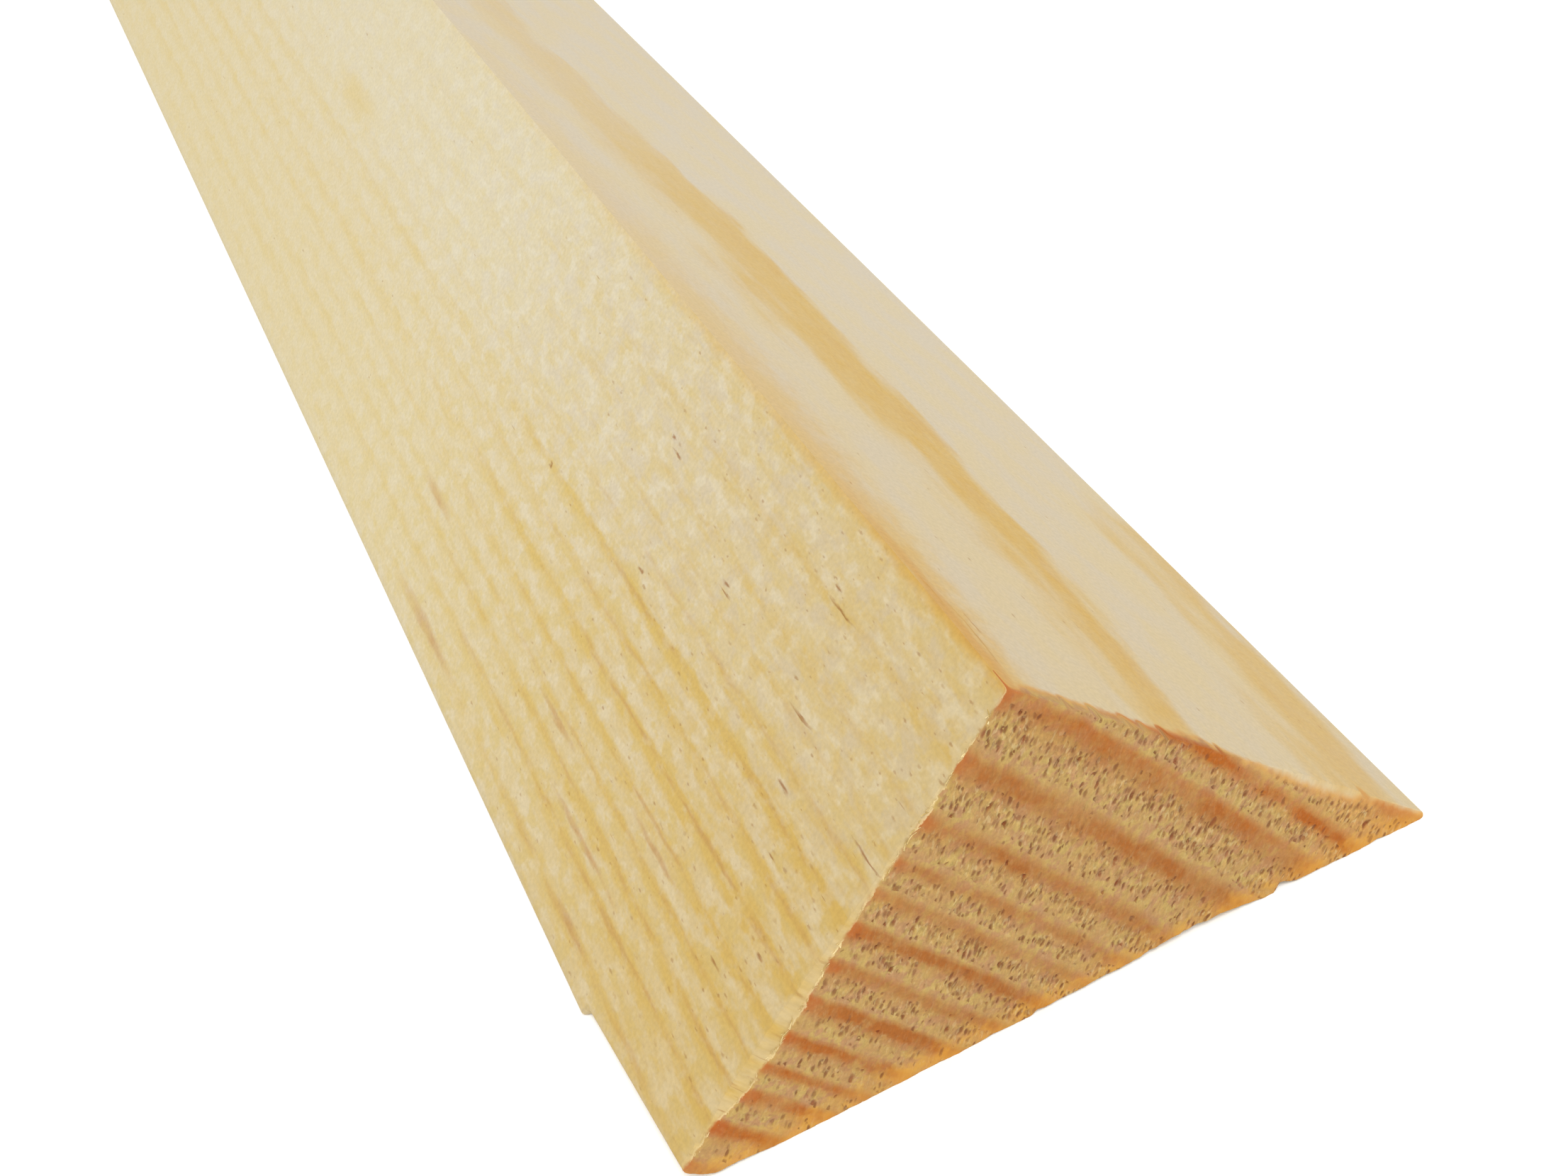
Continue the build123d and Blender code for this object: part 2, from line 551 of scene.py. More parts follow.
def ring_place(back, y, z):
    """A point's radius, its place in its ring from 0 to 1, and how strong that ring is."""
    solid = vector(back, y, z)
    radius = calc("SQRT", (y - PITH_Y) ** 2 + (z - PITH_Z) ** 2)
    drawn = curve(back, WANDER) * fade(radius, FLAME_RADIUS - 0.4, FLAME_RADIUS + 0.4)
    slow = bump_of(noise_of(solid, (0.035, 0.1, 0.1), 2, flat=False), 0.35)
    slower = bump_of(noise_of(solid, (0.005, 0.02, 0.02), 1, flat=False), 4.0)
    wavy = bump_of(noise_of(solid, (0.25, 0.9, 0.9), 2, flat=False), 0.14)
    wander = fade(back, 4, 30) * slow + fade(back, 60, 200) * slower
    radius = radius + (drawn + wander + wavy)
    count = curve(radius, [(end, i) for i, end in enumerate(RING_ENDS)], "VECTOR")
    strength = curve(count, [(i + LATE_PLACE, s) for i, s in enumerate(RING_STRENGTHS)])
    return radius, calc("FRACT", count), strength


print(len(RING_ENDS) - 1, "rings from", RING_ENDS[0], "to", RING_ENDS[-1], "mm from the pith")

# %% [markdown]
# The sawn end shows the rings as they are. Its two upper edges are worn by hands and bumps, so
# the long face's colour reaches over them in some places, and in others the torn grain eats into
# the long face. A curve drawn for each edge says how far, and a noise shakes it. The far
# end takes the same recipe from another part of the pattern, and has no drawn edges.

# %% The edges of the sawn end
FAR_SHIFT = 1000.0  # mm that the pattern is shifted by on the far end
EDGE_LEFT = [  # mm up the leg, then how far its colour reaches over the edge onto the end
    (0, 0.2), (3, 0.12), (4.6, 0.42), (7, 0.46), (9, 0.33), (11, 0.18), (13.5, 0.12),
    (16.5, 0.08), (17.6, -0.06), (20, -0.12),
]
EDGE_RIGHT = [
    (0, 0.06), (3, 0.12), (5, 0.3), (7, 0.2), (9, 0.05), (11, -0.3), (12, -0.5), (13.5, -0.3),
    (15, -0.35), (17, -0.4), (18.8, -0.45), (19.7, -0.15), (20, -0.1),
]


def in_mm(place):
    """The three parts of a place, in millimetres."""
    return split(stretch(place, (1 / MM, 1 / MM, 1 / MM)))


def rims(y, z):
    """How far a point of an end is from the worn side's leg and from the other leg."""
    left = (y + HALF_BASE / MM - z) * COS_45
    right = (HALF_BASE / MM - (y + z)) * COS_45
    return left, right


def worn_over(back, y, z):
    """The same, measured from where the worn edge of the end begins."""
    left, right = rims(y, z)
    up_left = (y + HALF_BASE / MM + z) * COS_45
    up_right = (HALF_BASE / MM - y + z) * COS_45
    here = back < FAR_SHIFT / 2
    shake = bump_of(noise_of(vector(y, z + back), 1.6, 3, 0.6), 0.16)
    edge_left = curve(up_left, EDGE_LEFT) * here + shake
    edge_right = curve(up_right, EDGE_RIGHT) * here + shake
    return left - edge_left, right - edge_right


# %% [markdown]
# Between the brown lines the saw has torn the soft spring cells out, which leaves small dark
# pits and fewer, larger holes, longer along the saw's steep path. Scattered points make them:
# each point has its own chance, size and strength, and the ring says how likely a tear is.

# %% Torn cells and brown lines
SAW_PATH = math.radians(64)  # the saw's path on the end, up from the base
SAW_STRETCH = 0.42
TORN_IN_RING = [(0, 0.0), (0.12, 0.1), (0.24, 0.8), (0.45, 1.0), (0.66, 0.7), (0.8, 0.12), (1, 0.0)]
TORN_BY_RADIUS = [
    (212, 0.2), (217, 0.4), (221, 0.6), (224, 0.95), (228, 1.0), (232, 1.1), (237, 1.3),
]
BROWN_IN_RING = [
    (0, 0.7), (0.08, 0.32), (0.16, 0.02), (0.38, 0.02), (0.5, 0.18), (0.62, 0.42), (0.74, 0.82),
    (0.84, 1.0), (0.92, 0.98), (1, 0.7),
]


def saw_grid(back, y, z):
    """Coordinates across and along the saw's path, a little shaken, to lay the pits out in."""
    across = y * math.sin(SAW_PATH) - z * math.cos(SAW_PATH)
    along = y * math.cos(SAW_PATH) + z * math.sin(SAW_PATH)
    grid = vector(across + back, along * SAW_STRETCH)
    inputs = {"Vector": grid, "Scale": 4.0, "Detail": 1.0}
    shake = add("ShaderNodeTexNoise", inputs, output="Color", noise_dimensions="2D")
    return moved(shake, (0.1, 0.1, 0), grid)


def torn_cells(grid, radius, ring):
    """How likely a point of the end is torn out, and how much it lies in a pit or a hole."""
    patch = noise_of(stretch(grid, (1.0, 2.0, 0)), 0.8, 3, 0.6)
    likely = curve(ring, TORN_IN_RING) * curve(radius, TORN_BY_RADIUS)
    likely = likely * fade(patch, 0.36, 0.6, 0.4, 1.4)

    jagged = bump_of(noise_of(grid, 12.0, 2, 0.6), 0.3)
    distance, chance = cells(grid, 5.6)
    pit = fade(distance / (chance[1] * 0.26 + 0.2) + jagged, 1.3, 0.4)
    pit = pit * (chance[0] < likely) * (chance[2] * 0.8 + 0.3)
    distance, chance = cells(grid, 2.7)
    hole = fade(distance / (chance[1] * 0.16 + 0.12) + jagged, 1.3, 0.4)
    hole = hole * (chance[0] < likely * 0.36) * (chance[2] * 0.6 + 0.4)
    return likely, pit, hole


def brown_line(ring, strength):
    """The brown of one ring: none in spring, rising to full in autumn, then gone at once."""
    return curve(ring, BROWN_IN_RING) * strength


print("the saw's path stands", round(math.degrees(SAW_PATH)), "degrees up from the base")

# %% [markdown]
# A torn surface catches the light, so the pits are real dents. A geometry node modifier runs the
# same recipe on the mesh and draws each point of an end inwards by what the recipe says, and it
# is applied at once. The worn edges fall away too. Points on the sides close to the end follow,
# less and less with distance.

# %% Tear the ends
FOLLOW = 1.0  # mm of side that follows the end inwards
PIT_DEPTH, HOLE_DEPTH = 0.03, 0.06  # mm
FIBRE_RELIEF, SAW_RELIEF = 0.05, 0.04
LATE_RELIEF = 0.02  # how far the hard autumn wood stands up
LEAST_DEPTH = 0.004

tree = bpy.data.node_groups.new("torn ends", "GeometryNodeTree")
tree.interface.new_socket("Geometry", in_out="INPUT", socket_type="NodeSocketGeometry")
tree.interface.new_socket("Geometry", in_out="OUTPUT", socket_type="NodeSocketGeometry")
x, y, z = in_mm(add("GeometryNodeInputPosition", {}, tree=tree))
back = (x < 0.0) * FAR_SHIFT
radius, ring, strength = ring_place(back, y, z)
grid = saw_grid(back, y, z)
_, pit, hole = torn_cells(grid, radius, ring)
left, right = rims(y, z)
whole = fade(least(least(left, right), z), 0.1, 0.4)
depth = brown_line(ring, strength) * -LATE_RELIEF - 0.01
fibres = noise_of(grid, 4.0, 2, 0.6)
saw = noise_of(grid, (0.7, 0.5, 0), 1)
depth = depth + (fibres * FIBRE_RELIEF + saw * SAW_RELIEF)
depth = depth + (pit * PIT_DEPTH + hole * HOLE_DEPTH) * whole
for inside in worn_over(back, y, z):
    depth = depth + most(0.1 - inside, 0.0) * 0.5
depth = most(depth, LEAST_DEPTH)
from_end = END_X / MM - abs(x)
follow = most(1.0 - from_end / FOLLOW, 0.0)
shift = calc("SIGN", x) * -MM * (depth * follow)
geometry = add("NodeGroupInput", {}, tree=tree)
drawn = add("GeometryNodeSetPosition", {0: geometry, "Offset": vector(shift, 0.0)})
feed(drawn, tree.nodes.new("NodeGroupOutput").inputs[0])

bpy.context.view_layer.objects.active = moulding
modifier = moulding.modifiers.new("torn ends", "NODES")
modifier.node_group = tree
bpy.ops.object.modifier_apply(modifier=modifier.name)
bpy.data.node_groups.remove(tree)
mesh = moulding.data
torn_x = read(mesh.vertices, "co", 3)[:, 0]
print("the ends now lie between", torn_x.min(), "and", torn_x.max())

bpy.ops.object.select_all(action="DESELECT")
moulding.select_set(True)
bpy.ops.object.shade_smooth_by_angle(angle=math.radians(40))

# %% [markdown]
# The end's own finish starts with the wood: earlywood is a patchwork of yellow and pinkish
# cells, and the brown lines lie over it, duller inland than at the edges. Over that go the
# edges. Along the base the clean orange is a painted glow of light getting into the thin wood.
# The right edge is rubbed to gold, and both upper edges are rusty where a brown line meets them.

# %% How end grain looks
EARLY = tone(180, 142, 84)
EARLY_PINK = tone(176, 133, 90)
EARLY_YELLOW = tone(186, 156, 89)
LATE = tone(168, 90, 14)
LATE_DULL = tone(160, 95, 34)
CORNER = tone(200, 146, 74)
# dark brown of the pits and holes: partly the torn wood's own colour, partly painted shade
PIT_BROWN_AND_SHADE = tone(116, 62, 28)
HOLE_RED_AND_SHADE = tone(128, 58, 22)
# partly pale torn fibres, partly painted highlights on the torn relief
FIBRE_AND_HIGHLIGHT = tone(226, 204, 148)
WORN_GOLD = tone(206, 154, 84)
# painted glow of the light that gets into the thin wood along the base
RIM_GLOW = tone(214, 154, 58)
RUST = tone(176, 92, 40)
BURR = tone(236, 214, 158)
RADIAL = math.radians(33.9)  # the way across the rings at the middle of the end


def end_wood(end):
    """The colour of the wood, before its edges and tears."""
    across = end.radius * 0.7 + end.back
    along = end.z * math.cos(RADIAL) - end.y * math.sin(RADIAL)
    bands = vector(across, along)
    colour = mix(fade(end.blotch, 0.4, 0.6), EARLY_YELLOW, EARLY_PINK)
    colour = mix(fade(end.patchy, 0.4, 0.6, 0.7, 0.1), colour, EARLY)
    colour = mix(fade(end.y, 7, 13, 0.0, 0.6), colour, CORNER)
    uneven = noise_of(bands, (1.2, 0.5, 0), 3, 0.6) * 1.7 + 0.16
    soft = noise_of(end.grid, 3.0, 2, 0.6) * 0.7 + 0.65
    dull = fade(end.radius, 217, 223) * fade(end.radius, 233, 232)
    dull = dull * fade(least(end.inside, end.z), 0.3, 1.6, 0.4, 1.0)
    brown = calc("MULTIPLY", end.line, uneven * soft, clamp=True)
    return mix(brown, colour, mix(dull, LATE, LATE_DULL))


def end_edges(end, colour):
    """Adds the painted orange glow along the base, the rubbed right edge and the rust."""
    # painted glow: the base rim turns a brighter orange, as light gets into the thin wood there
    rim_glow = fade(end.z + bump_of(end.blotch, 0.6), 1.4, 0.1)
    colour = mix(rim_glow * fade(end.patchy, 0.35, 0.6, 0.3, 0.7), colour, RIM_GLOW)
    rubbed = fade(end.right + bump_of(end.blotch, 0.3), 0.35, -0.1)
    colour = mix(rubbed * 0.8, colour, WORN_GOLD)
    rust = fade(end.right + bump_of(end.blotch, 0.5), 0.5, 0.05)
    colour = mix(rust * fade(end.line, 0.3, 0.8, 0.0, 0.4), colour, RUST)
    rust = fade(end.left + bump_of(end.blotch, 0.6), 0.7, 0.1)
    return mix(rust * fade(end.line, 0.2, 0.7, 0.0, 0.5), colour, RUST)


def end_look(back, y, z):
    """The colour and height, in mm, of end grain, and how much of it a point shows."""
    end = SimpleNamespace(back=back, y=y, z=z)
    end.radius, ring, strength = ring_place(back, y, z)
    end.line = brown_line(ring, strength)
    end.grid = saw_grid(back, y, z)
    end.left, end.right = worn_over(back, y, z)
    end.inside = least(end.left, end.right)
    spot = vector(y + back, z)
    end.blotch = noise_of(spot, 2.1, 3, 0.6)
    end.patchy = noise_of(spot, 1.1, 2)
    colour = end_wood(end)

    likely, pit, hole = torn_cells(end.grid, end.radius, ring)
    torn = fade(end.inside, 0.0, 0.3) * fade(rims(y, z)[1], -0.1, 0.15)
    rough = torn * (likely * 0.45 + 0.35)
    fine = noise_of(end.grid, 6.5, 3, 0.7)
    grit = noise_of(spot, 9.0, 2, 0.6)
    colour = tint(colour, bump_of(fine, 0.5) * rough + (grit * 0.3 + 0.85))
    colour = end_edges(end, colour)
    # the pits and holes are painted dark: partly the torn wood's brown, partly painted shade in the
    # dents
    colour = mix(pit * torn * 0.75, colour, PIT_BROWN_AND_SHADE)
    colour = mix(hole * torn * 0.85, colour, HOLE_RED_AND_SHADE)
    # pale flecks: partly torn fibres, partly painted highlights on the torn relief
    fleck_and_highlight = fade(noise_of(end.grid, 8.0, 1), 0.56, 0.72) * (likely * 0.5 + 0.1)
    colour = mix(fleck_and_highlight * torn * 0.4, colour, FIBRE_AND_HIGHLIGHT)
    burr = fade(abs(end.left + bump_of(fine, 0.08)), 0.05, 0.015)
    burr = burr * fade(noise_of(vector(y, z), 0.9, 2), 0.42, 0.56)
    colour = mix(burr * 0.6, colour, BURR)

    height = fine * rough * 0.04 - (pit * 0.02 + hole * 0.03) * torn
    share = least(fade(end.left, -0.07, 0.06), fade(end.right, -0.2, 0.1))
    return colour, height, share * fade(z, -0.3, -0.1)


# %% [markdown]
# The planed faces cut the same rings lengthwise. Each is first laid out flat, with the distance
# back from the end and the distance across the face as its two directions, and gets a few
# noises, long along the grain and short across it, that the later steps share. The base has no
# picture to follow, so it turns slowly from one leg's look to the other's.

# %% Lay the planed faces flat
FACE_GAP = 60.0  # mm between the faces in this layout, so that no two share a pattern
BASE_TURN = 6.0  # mm either side of the base's middle
BASE_SKIN = 0.02  # mm: anything lower belongs to the base


def long_face(back, y, z):
    """What the looks of the planed faces are made from."""
    face = SimpleNamespace(back=back, y=y, z=z, right=y > 0.0)
    face.radius, face.ring, face.strength = ring_place(back, y, z)
    face.up = (z - abs(y)) * COS_45 + LEG / MM / 2
    under = z < BASE_SKIN
    face.turned = blend(under, face.right, fade(y, -BASE_TURN, BASE_TURN))
    face.across = blend(under, face.up + face.right * FACE_GAP, y + 2 * FACE_GAP)
    face.flat = vector(back, face.across)
    face.level = fade(back, 0.0, 0.5, 0.3, 1.0)
    face.nearby = fade(back, 0, 60, 1.1, 0.35) * face.level
    face.mottle = noise_of(face.flat, (0.9, 1.5, 0), 4, 0.55)
    face.patches = noise_of(face.flat, (0.18, 0.9, 0), 2)
    face.broken = noise_of(face.flat, (0.6, 2.8, 0), 3, 0.6)
    face.fine = noise_of(face.flat, (0.09, 2.6, 0), 3, 0.6)
    face.grit = noise_of(face.flat, 6.0, 2, 0.6)
    return face


# %% [markdown]
# The leg on the worn side is quarter-sawn. Every ring shows as a streak that rises slowly and
# stops sharply, as on the end, but paler. A mottle of ray cells breaks the streaks up, grey
# towards the ridge and yellow lower down, and some rings carry a thin broken brown line.

# %% The leg on the worn side
LEFT_PALE = tone(209, 187, 142)
LEFT_STREAK = tone(207, 174, 96)
SPOT_PALE = tone(215, 198, 165)
SPOT_YELLOW = tone(206, 179, 112)
SPOT_GREY = tone(204, 184, 150)
STAIN = tone(184, 134, 72)
LEFT_LOW, LEFT_HIGH = (1, 1, 1, 1), (1.0, 1.02, 1.05, 1)
STREAK_IN_RING = [
    (0, 0.45), (0.12, 0.12), (0.3, 0.0), (0.46, 0.15), (0.66, 0.75), (0.82, 1.0), (0.92, 0.9),
    (1, 0.45),
]
STREAK_UP = [(0, 0.6), (3, 0.9), (5, 1.0), (11.5, 1.0), (13.5, 0.45), (20, 0.35)]
STREAK_BACK = [(0, 1.3), (6, 1.25), (14, 1.0), (26, 0.6), (40, 0.36), (70, 0.3), (150, 0.6)]


def left_leg(face):
    """The colour of the leg on the worn side."""
    streak = curve(face.ring + bump_of(face.mottle, 0.16), STREAK_IN_RING)
    streak = streak * face.strength * face.level * fade(face.patches, 0.3, 0.62, 0.7, 1.5)
    streak = streak * curve(face.up, STREAK_UP) * curve(face.back, STREAK_BACK)
    dark = streak + bump_of(face.broken, 0.6) * face.nearby
    dark = calc("ADD", dark, bump_of(face.fine, 0.4) * face.nearby, clamp=True)
    spots = noise_of(face.flat, (1.0, 1.5, 0), 3, 0.6)
    pale = fade(spots, 0.44, 0.66, 0.0, 0.8) * face.nearby
    yellow = fade(face.mottle, 0.52, 0.36) * fade(face.up, 15, 10, 0.35, 0.75)
    grey = fade(noise_of(face.flat, (0.8, 1.0, 0), 3, 0.6), 0.48, 0.64)
    grey = grey * fade(face.up, 9, 14, 0.15, 0.75)
    colour = mix(pale, LEFT_PALE, SPOT_PALE)
    colour = mix(yellow * face.nearby, colour, SPOT_YELLOW)
    colour = mix(grey * face.nearby, colour, SPOT_GREY)
    colour = mix(dark * (1.0 - pale * 0.5), colour, LEFT_STREAK)
    colour = mix(fade(face.up, 15, 2, 0.0, 0.25), colour, SPOT_YELLOW)

    off_line = abs(face.ring + bump_of(face.broken, 0.12) - 0.86)
    thin = fade(off_line, 0.13, 0.0) * face.strength * face.level
    thin = thin * fade(face.back, 8, 40, 1.0, 0.1) * fade(face.up, 14.5, 12.5, 0.3, 1.0)
    brown = noise_of(face.flat, (0.3, 1.2, 0), 3, 0.6)
    colour = mix(thin * fade(brown, 0.42, 0.62, 0.1, 0.5), colour, STAIN)
    return tint(colour, mix(fade(face.up, 9, 15), LEFT_LOW, LEFT_HIGH))


# %% [markdown]
# The other leg runs almost along the rings, so each brown line is met at a low angle and shows
# as a wide soft flame. A flame has a frayed body, a darker core and a pale glow on its inner
# side. Low on the leg, where the outer rings are, the flame ends about 18 mm back.

# %% The leg on the sharp side
RIGHT_PALE = tone(209, 192, 160)
RIGHT_GREY = tone(206, 192, 168)
RIGHT_CREAM = tone(212, 192, 146)
RIGHT_FLAME = tone(207, 169, 86)
FLAME_CORE = tone(200, 158, 92)
OUTER_RADIUS = 234.1  # the outer rings lie beyond this
OUTER_END = (17, 20)  # mm back
FLAME_START = [(0, 0.68), (8, 0.57), (17, 0.47), (33, 0.3), (60, 0.4)]
FLAME_BACK = [(0, 0.8), (12, 1.0), (36, 0.9), (48, 0.5), (60, 0.35), (110, 0.3), (250, 0.6)]


def flames(face):
    """How much a flame shows, from 0 to 1: its body, its core and its glow."""
    frayed = bump_of(noise_of(face.flat, (0.22, 0.8, 0), 2, 0.45), 0.2)
    ragged = face.ring + frayed
    outer = fade(face.radius, OUTER_RADIUS, OUTER_RADIUS + 0.4)
    start = blend(outer, curve(face.back, FLAME_START), face.back * 0.012 + 0.54)
    gone = outer * fade(face.back + frayed * 12, *OUTER_END)
    shown = (1.0 - gone) * curve(face.back, FLAME_BACK) * face.strength
    shown = shown * fade(ragged, 1.04, 0.78) * fade(face.ring, 1.0, 0.92)
    body = fade(ragged, start - 0.22, start + 0.16)
    core = fade(ragged, start + 0.1, 0.9)
    glow = fade(ragged, start - 0.6, start)
    return body * shown, core * shown, glow * shown


def right_leg(face):
    """The colour of the leg on the sharp side."""
    below = fade(face.up, 18.5, 16.5)
    body, core, glow = (part * below for part in flames(face))
    cloud = noise_of(face.flat, (0.28, 0.6, 0), 3, 0.6)
    colour = mix(fade(cloud, 0.46, 0.68, 0.0, 0.7), RIGHT_PALE, RIGHT_GREY)
    colour = mix(fade(cloud, 0.54, 0.34, 0.0, 0.4), colour, RIGHT_CREAM)
    colour = mix(glow * 0.4, colour, RIGHT_CREAM)
    colour = mix(body * (face.mottle * 0.6 + 0.7), colour, RIGHT_FLAME)
    return mix(core * fade(face.patches, 0.42, 0.62, 0.0, 0.35), colour, FLAME_CORE)


# %% [markdown]
# Both legs have dark specks and short threads of resin. The small ones fall by chance, thickest
# near the end and on the worn side. The larger ones have places of their own, each an ellipse
# whose edge the grain bends.

# %% Specks, threads and stains
SPECK = tone(152, 100, 34)
RESIN = tone(144, 84, 12)
THREADS = [  # mm back, mm up the leg (FACE_GAP more on the right), half as long, half as thick
    (8.3, 17.75, 0.16, 0.08), (7.5, 17.4, 0.7, 0.04), (6.6, 14.05, 0.7, 0.04), (5.6, 12.1, 0.3, 0.06),
    (0.9, 13.2, 0.7, 0.04), (13.3, 14.6, 0.16, 0.07), (13.0, 14.4, 0.4, 0.035),
    (19.6, 16.0, 0.35, 0.05), (20.2, 16.3, 0.12, 0.07), (26.6, 11.3, 0.16, 0.11),
    (17.9, 12.1, 0.14, 0.08), (4.2, 10.4, 0.25, 0.045), (2.4, 8.1, 0.3, 0.045),
    (3.6, 6.5, 0.3, 0.045), (3.0, 79.4, 1.6, 0.05), (5.2, 79.75, 1.0, 0.045),
    (3.6, 79.0, 0.5, 0.04), (11.7, 79.2, 0.1, 0.07),
]
STAINS = [
    (17.7, 5.6, 1.6, 0.14), (12.6, 4.0, 2.7, 0.12), (29.0, 1.8, 3.0, 0.24), (10.6, 1.8, 1.4, 0.16),
    (33.3, 5.6, 1.4, 0.2), (9.0, 6.6, 1.8, 0.1),
]
SMUDGE = [(60.8, 13.3, 3.0, 0.7)]


def marks(surface, places):
    """How near a point is to any of the marks, from 1 in one to 0 outside."""
    near = None
    for back, up, long, thick in places:
        scale = (0.5 / long, 0.5 / thick, 0)
        off = moved(surface, scale, (-back * scale[0], -up * scale[1], 0))
        far = add("ShaderNodeVectorMath", {0: off}, output="Value", operation="LENGTH")
        near = far if near is None else least(near, far)
    return fade(near, 0.8, 0.1)


def add_marks(face, colour):
    """Adds the specks and threads that fall by chance, and the marks in their own places."""
    distance, chance = cells(stretch(face.flat, (0.45, 1.2, 0)), 2.6)
    speck = distance / (chance[1] * 0.12 + 0.05) + bump_of(face.grit, 0.8)
    rare = fade(face.back, 0, 32, 0.7, 0.03) * (1.0 - face.right * 0.9)
    rare = rare * fade(face.mottle, 0.42, 0.6, 0.2, 1.3)
    speck = fade(speck, 1.4, 0.3) * (chance[0] < rare) * chance[2]
    colour = mix(speck * 0.5, colour, SPECK)
    distance, chance = cells(stretch(face.flat, (0.09, 1.0, 0)), 1.1)
    thread = fade(distance / (chance[1] * 0.016 + 0.012), 1.3, 0.4)
    rare = fade(face.back, 4, 26, 0.3, 0.03) * (1.0 - face.right * 0.85)
    thread = thread * (chance[0] < rare) * (chance[2] * 0.5 + 0.1)
    colour = mix(thread, colour, SPECK)

    bent_back = face.back + bump_of(face.mottle, 0.6)
    bent = vector(bent_back, face.across + bump_of(face.broken, 0.16))
    colour = mix(marks(bent, STAINS) * face.mottle, colour, STAIN)
    colour = mix(marks(bent, SMUDGE) * 0.5, colour, LEFT_STREAK)
    return mix(marks(bent, THREADS) * 0.72, colour, RESIN)


print(len(THREADS), "threads and", len(STAINS + SMUDGE), "stains in places of their own")

# %% [markdown]
# Hands have rubbed the ridge to a golden band, wider and fainter further back, with a narrow
# dark crease near the end. Last, the whole face pales with distance from the end, as it does in
# the photograph.

# %% The ridge, and long grain as a whole
RIDGE_GOLD = tone(208, 167, 82)
RIDGE_DARK = tone(196, 136, 54)
RIDGE_WIDTH = [(0, 1.3), (5, 1.6), (20, 2.3), (40, 2.5)]
RIDGE_BACK = [
    (0, 0.72), (3, 0.78), (6, 0.76), (11, 0.62), (18, 0.5), (28, 0.32), (42, 0.14), (60, 0.05),
]
# the long faces grow paler with distance from the end
PALER_BACK = [(0, 0.0), (8, 0.2), (17, 0.44), (28, 0.72), (42, 0.96), (60, 1.0)]
LEFT_NEAR, LEFT_FAR = (0.88, 0.84, 0.72, 1), (1.0, 1.1, 1.3, 1)
RIGHT_NEAR, RIGHT_FAR = (0.92, 0.89, 0.82, 1), (0.95, 0.97, 1.0, 1)


def add_ridge(face, colour):
    """Adds the golden band, which reaches further onto the sharp side, and the dark crease."""
    aside = most(face.y / curve(face.back, RIDGE_WIDTH), face.y * -2.8)
    ridge = fade(aside + bump_of(face.mottle, 0.4), 1.0, 0.1)
    ridge = ridge * fade(face.z, 7, 9) * curve(face.back, RIDGE_BACK)
    colour = mix(ridge, colour, RIDGE_GOLD)
    crease = fade(abs(face.y - 0.15) + bump_of(face.broken, 0.15), 0.3, 0.05)
    crease = crease * fade(face.z, 12, 13) * fade(face.back, 4, 14, 0.4, 0.0)
    return mix(crease, colour, RIDGE_DARK)


def long_look(back, y, z):
    """The colour and the height, in mm, of the planed faces."""
    face = long_face(back, y, z)
    colour = mix(face.turned, left_leg(face), right_leg(face))
    colour = add_ridge(face, add_marks(face, colour))
    paler_back = curve(back, PALER_BACK)
    left_tint = mix(paler_back, LEFT_NEAR, LEFT_FAR)
    right_tint = mix(paler_back, RIGHT_NEAR, RIGHT_FAR)
    colour = tint(colour, mix(face.turned, left_tint, right_tint))
    colour = tint(colour, face.grit * 0.24 + 0.88)
    return colour, (face.fine * 0.012 + face.grit * 0.005) * face.level


# %% [markdown]
# Two materials share these looks. The long faces need only long grain. The ends, and the first
# millimetre of the long faces, need both: a point of a long face is treated as if the face were
# folded up level with the end, so that the torn grain runs on over the worn edge.

# %% Long grain and end grain materials
LONG_ROUGHNESS, END_ROUGHNESS = 0.65, 0.8
SLANT_LEFT, SLANT_RIGHT = 0.95, 0.9  # how much of the long face the fold lays out past the end


def new_material(name, roughness):
    """A wood material, its shader and the place of each point."""
    material = bpy.data.materials.new(name)
    material.use_nodes = True
    shader = material.node_tree.nodes["Principled BSDF"]
    shader.inputs["Roughness"].default_value = roughness
    shader.inputs["Specular IOR Level"].default_value = 0.25
    place = add("ShaderNodeTexCoord", {}, output="Object", tree=material.node_tree)
    return material, shader, place


def finish_material(shader, colour, height):
    bump = add("ShaderNodeBump", {"Height": height, "Distance": MM, "Strength": 1.0})
    feed(bump, shader.inputs["Normal"])
    feed(colour, shader.inputs["Base Color"])


long_grain, shader, place = new_material("long grain", LONG_ROUGHNESS)
x, y, z = in_mm(place)
finish_material(shader, *long_look(END_X / MM - x, y, z))
print("long grain has", len(long_grain.node_tree.nodes), "nodes")

end_grain, shader, place = new_material("end grain", END_ROUGHNESS)
x, y, z = in_mm(place)
colour, height = long_look(END_X / MM - x, y, z)
skin = fade(least(*rims(y, z)), 0.05, 0.0)
slant = blend(y > 0.0, SLANT_LEFT, SLANT_RIGHT)
from_end = END_X / MM - abs(x)
out = from_end * skin * slant * COS_45
under = z < BASE_SKIN
out_y = out * calc("SIGN", y) * (1.0 - under)
out_z = out - from_end * under * 2.0
far_end = (x < 0.0) * FAR_SHIFT
end_colour, end_height, share = end_look(far_end, y + out_y, z + out_z)
feed(blend(share, LONG_ROUGHNESS, END_ROUGHNESS), shader.inputs["Roughness"])
colour = mix(share, colour, end_colour)
finish_material(shader, colour, blend(share, height, end_height))
print("end grain has", len(end_grain.node_tree.nodes), "nodes")

mesh.materials.append(end_grain)
mesh.materials.append(long_grain)

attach(moulding, "root")
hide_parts("triangular_moulding")

# %% [markdown]
# The saw also pushed loose fibres up along the edge above the worn side. They are a few
# hundredths of a millimetre thick, too fine for the stick's own mesh, so one fibre is made from a
# cone, bent in two steps, and copied along the edge with a turn and a size of its own. A noise
# along the edge says where they are larger and stand up in tufts.

